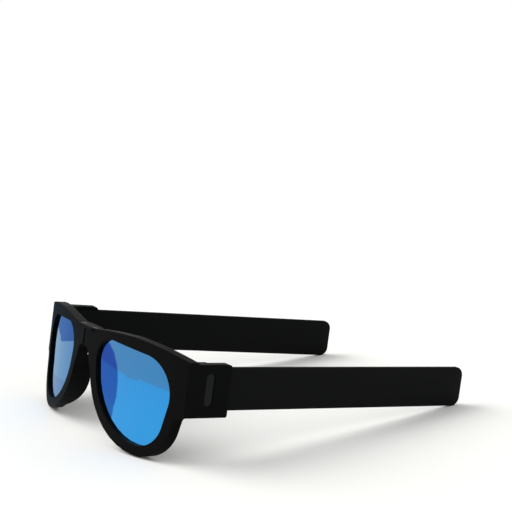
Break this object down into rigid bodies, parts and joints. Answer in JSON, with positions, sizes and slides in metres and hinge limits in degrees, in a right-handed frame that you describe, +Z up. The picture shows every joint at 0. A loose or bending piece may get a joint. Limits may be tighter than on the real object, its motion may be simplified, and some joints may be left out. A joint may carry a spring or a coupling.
{
  "type": "folding sunglasses",
  "caption": "Matte black sunglasses with blue mirrored lenses, a folding bridge, and flat sprung bands for arms that coil up.",
  "frame": {"origin": "on the floor, under the middle of the open pair's bounding box as it stands on its two rims and two band tips", "axes": "+X to the wearer's left, +Y back along the bands, away from the lenses, +Z up"},
  "size_m": [0.145, 0.1855, 0.0537],
  "materials": {
    "frame_black": "soft-touch matte",
    "lens_blue": "blue mirror coating",
    "band_black": "smooth matte silicone",
    "spring_steel": "cold-rolled strip",
    "pin_steel": "turned",
    "screw_steel": "blackened"
  },
  "bodies": {
    "left_front": {"left_frame": "frame_black", "left_lens": "lens_blue", "left_hinge_pin": "pin_steel", "left_pin_screw": "screw_steel", "left_band_root": "band_black", "left_root_spring": "spring_steel"},
    "bridge_link": {"hinge_link": "frame_black"},
    "right_front": {"right_frame": "frame_black", "right_lens": "lens_blue", "right_hinge_pin": "pin_steel", "right_pin_screw": "screw_steel", "right_band_root": "band_black", "right_root_spring": "spring_steel"},
    "left_band_1": {"left_band_1": "band_black", "left_spring_1": "spring_steel"},
    "left_band_2": {"left_band_2": "band_black", "left_spring_2": "spring_steel"},
    "left_band_3": {"left_band_3": "band_black", "left_spring_3": "spring_steel"},
    "left_band_4": {"left_band_4": "band_black", "left_spring_4": "spring_steel"},
    "left_band_5": {"left_band_5": "band_black", "left_spring_5": "spring_steel"},
    "left_band_6": {"left_band_6": "band_black", "left_spring_6": "spring_steel"},
    "left_band_7": {"left_band_7": "band_black", "left_spring_7": "spring_steel"},
    "left_band_8": {"left_band_8": "band_black", "left_spring_8": "spring_steel"},
    "left_band_9": {"left_band_9": "band_black", "left_spring_9": "spring_steel"},
    "left_band_10": {"left_band_10": "band_black", "left_spring_10": "spring_steel"},
    "right_band_1": {"right_band_1": "band_black", "right_spring_1": "spring_steel"},
    "right_band_2": {"right_band_2": "band_black", "right_spring_2": "spring_steel"},
    "right_band_3": {"right_band_3": "band_black", "right_spring_3": "spring_steel"},
    "right_band_4": {"right_band_4": "band_black", "right_spring_4": "spring_steel"},
    "right_band_5": {"right_band_5": "band_black", "right_spring_5": "spring_steel"},
    "right_band_6": {"right_band_6": "band_black", "right_spring_6": "spring_steel"},
    "right_band_7": {"right_band_7": "band_black", "right_spring_7": "spring_steel"},
    "right_band_8": {"right_band_8": "band_black", "right_spring_8": "spring_steel"},
    "right_band_9": {"right_band_9": "band_black", "right_spring_9": "spring_steel"},
    "right_band_10": {"right_band_10": "band_black", "right_spring_10": "spring_steel"}
  },
  "joints": [
    {"name": "left_fold", "type": "hinge", "parent": "left_front", "child": "bridge_link", "pos_m": [0.0062, -0.08727, 0.04788], "axis": [0, 0.1544, 0.988], "range_deg": [0, 90]},
    {"name": "right_fold", "type": "hinge", "parent": "bridge_link", "child": "right_front", "pos_m": [-0.0062, -0.08727, 0.04788], "axis": [0, 0.1544, 0.988], "range_deg": [0, 90]},
    {"name": "left_curl", "type": "hinge", "parent": "left_front", "child": "left_band_1", "pos_m": [0.06686, -0.05625, 0.0324], "axis": [0, 0.1544, 0.988], "range_deg": [0, 32]},
    {"name": "left_curl_2", "type": "hinge", "parent": "left_band_1", "child": "left_band_2", "pos_m": [0.06595, -0.04146, 0.03009], "axis": [0, 0.1544, 0.988], "range_deg": [0, 37.5]},
    {"name": "left_curl_3", "type": "hinge", "parent": "left_band_2", "child": "left_band_3", "pos_m": [0.06503, -0.02667, 0.02778], "axis": [0, 0.1544, 0.988], "range_deg": [0, 43]},
    {"name": "left_curl_4", "type": "hinge", "parent": "left_band_3", "child": "left_band_4", "pos_m": [0.06411, -0.01188, 0.02547], "axis": [0, 0.1544, 0.988], "range_deg": [0, 48.5]},
    {"name": "left_curl_5", "type": "hinge", "parent": "left_band_4", "child": "left_band_5", "pos_m": [0.0632, 0.00292, 0.02315], "axis": [0, 0.1544, 0.988], "range_deg": [0, 54]},
    {"name": "left_curl_6", "type": "hinge", "parent": "left_band_5", "child": "left_band_6", "pos_m": [0.06228, 0.01771, 0.02084], "axis": [0, 0.1544, 0.988], "range_deg": [0, 59.5]},
    {"name": "left_curl_7", "type": "hinge", "parent": "left_band_6", "child": "left_band_7", "pos_m": [0.06137, 0.0325, 0.01853], "axis": [0, 0.1544, 0.988], "range_deg": [0, 65]},
    {"name": "left_curl_8", "type": "hinge", "parent": "left_band_7", "child": "left_band_8", "pos_m": [0.06045, 0.04729, 0.01622], "axis": [0, 0.1544, 0.988], "range_deg": [0, 70.5]},
    {"name": "left_curl_9", "type": "hinge", "parent": "left_band_8", "child": "left_band_9", "pos_m": [0.05953, 0.06209, 0.01391], "axis": [0, 0.1544, 0.988], "range_deg": [0, 76]},
    {"name": "left_curl_10", "type": "hinge", "parent": "left_band_9", "child": "left_band_10", "pos_m": [0.05862, 0.07688, 0.01159], "axis": [0, 0.1544, 0.988], "range_deg": [0, 81.5]},
    {"name": "right_curl", "type": "hinge", "parent": "right_front", "child": "right_band_1", "pos_m": [-0.06686, -0.05625, 0.0324], "axis": [0, -0.1544, -0.988], "range_deg": [0, 32]},
    {"name": "right_curl_2", "type": "hinge", "parent": "right_band_1", "child": "right_band_2", "pos_m": [-0.06595, -0.04146, 0.03009], "axis": [0, -0.1544, -0.988], "range_deg": [0, 37.5]},
    {"name": "right_curl_3", "type": "hinge", "parent": "right_band_2", "child": "right_band_3", "pos_m": [-0.06503, -0.02667, 0.02778], "axis": [0, -0.1544, -0.988], "range_deg": [0, 43]},
    {"name": "right_curl_4", "type": "hinge", "parent": "right_band_3", "child": "right_band_4", "pos_m": [-0.06411, -0.01188, 0.02547], "axis": [0, -0.1544, -0.988], "range_deg": [0, 48.5]},
    {"name": "right_curl_5", "type": "hinge", "parent": "right_band_4", "child": "right_band_5", "pos_m": [-0.0632, 0.00292, 0.02315], "axis": [0, -0.1544, -0.988], "range_deg": [0, 54]},
    {"name": "right_curl_6", "type": "hinge", "parent": "right_band_5", "child": "right_band_6", "pos_m": [-0.06228, 0.01771, 0.02084], "axis": [0, -0.1544, -0.988], "range_deg": [0, 59.5]},
    {"name": "right_curl_7", "type": "hinge", "parent": "right_band_6", "child": "right_band_7", "pos_m": [-0.06137, 0.0325, 0.01853], "axis": [0, -0.1544, -0.988], "range_deg": [0, 65]},
    {"name": "right_curl_8", "type": "hinge", "parent": "right_band_7", "child": "right_band_8", "pos_m": [-0.06045, 0.04729, 0.01622], "axis": [0, -0.1544, -0.988], "range_deg": [0, 70.5]},
    {"name": "right_curl_9", "type": "hinge", "parent": "right_band_8", "child": "right_band_9", "pos_m": [-0.05953, 0.06209, 0.01391], "axis": [0, -0.1544, -0.988], "range_deg": [0, 76]},
    {"name": "right_curl_10", "type": "hinge", "parent": "right_band_9", "child": "right_band_10", "pos_m": [-0.05862, 0.07688, 0.01159], "axis": [0, -0.1544, -0.988], "range_deg": [0, 81.5]}
  ],
  "couplings": [
    {"joint": "left_curl_2", "follows": "left_curl", "ratio": 1.1719},
    {"joint": "left_curl_3", "follows": "left_curl", "ratio": 1.3438},
    {"joint": "left_curl_4", "follows": "left_curl", "ratio": 1.5156},
    {"joint": "left_curl_5", "follows": "left_curl", "ratio": 1.6875},
    {"joint": "left_curl_6", "follows": "left_curl", "ratio": 1.8594},
    {"joint": "left_curl_7", "follows": "left_curl", "ratio": 2.0312},
    {"joint": "left_curl_8", "follows": "left_curl", "ratio": 2.2031},
    {"joint": "left_curl_9", "follows": "left_curl", "ratio": 2.375},
    {"joint": "left_curl_10", "follows": "left_curl", "ratio": 2.5469},
    {"joint": "right_curl_2", "follows": "right_curl", "ratio": 1.1719},
    {"joint": "right_curl_3", "follows": "right_curl", "ratio": 1.3438},
    {"joint": "right_curl_4", "follows": "right_curl", "ratio": 1.5156},
    {"joint": "right_curl_5", "follows": "right_curl", "ratio": 1.6875},
    {"joint": "right_curl_6", "follows": "right_curl", "ratio": 1.8594},
    {"joint": "right_curl_7", "follows": "right_curl", "ratio": 2.0312},
    {"joint": "right_curl_8", "follows": "right_curl", "ratio": 2.2031},
    {"joint": "right_curl_9", "follows": "right_curl", "ratio": 2.375},
    {"joint": "right_curl_10", "follows": "right_curl", "ratio": 2.5469}
  ]
}
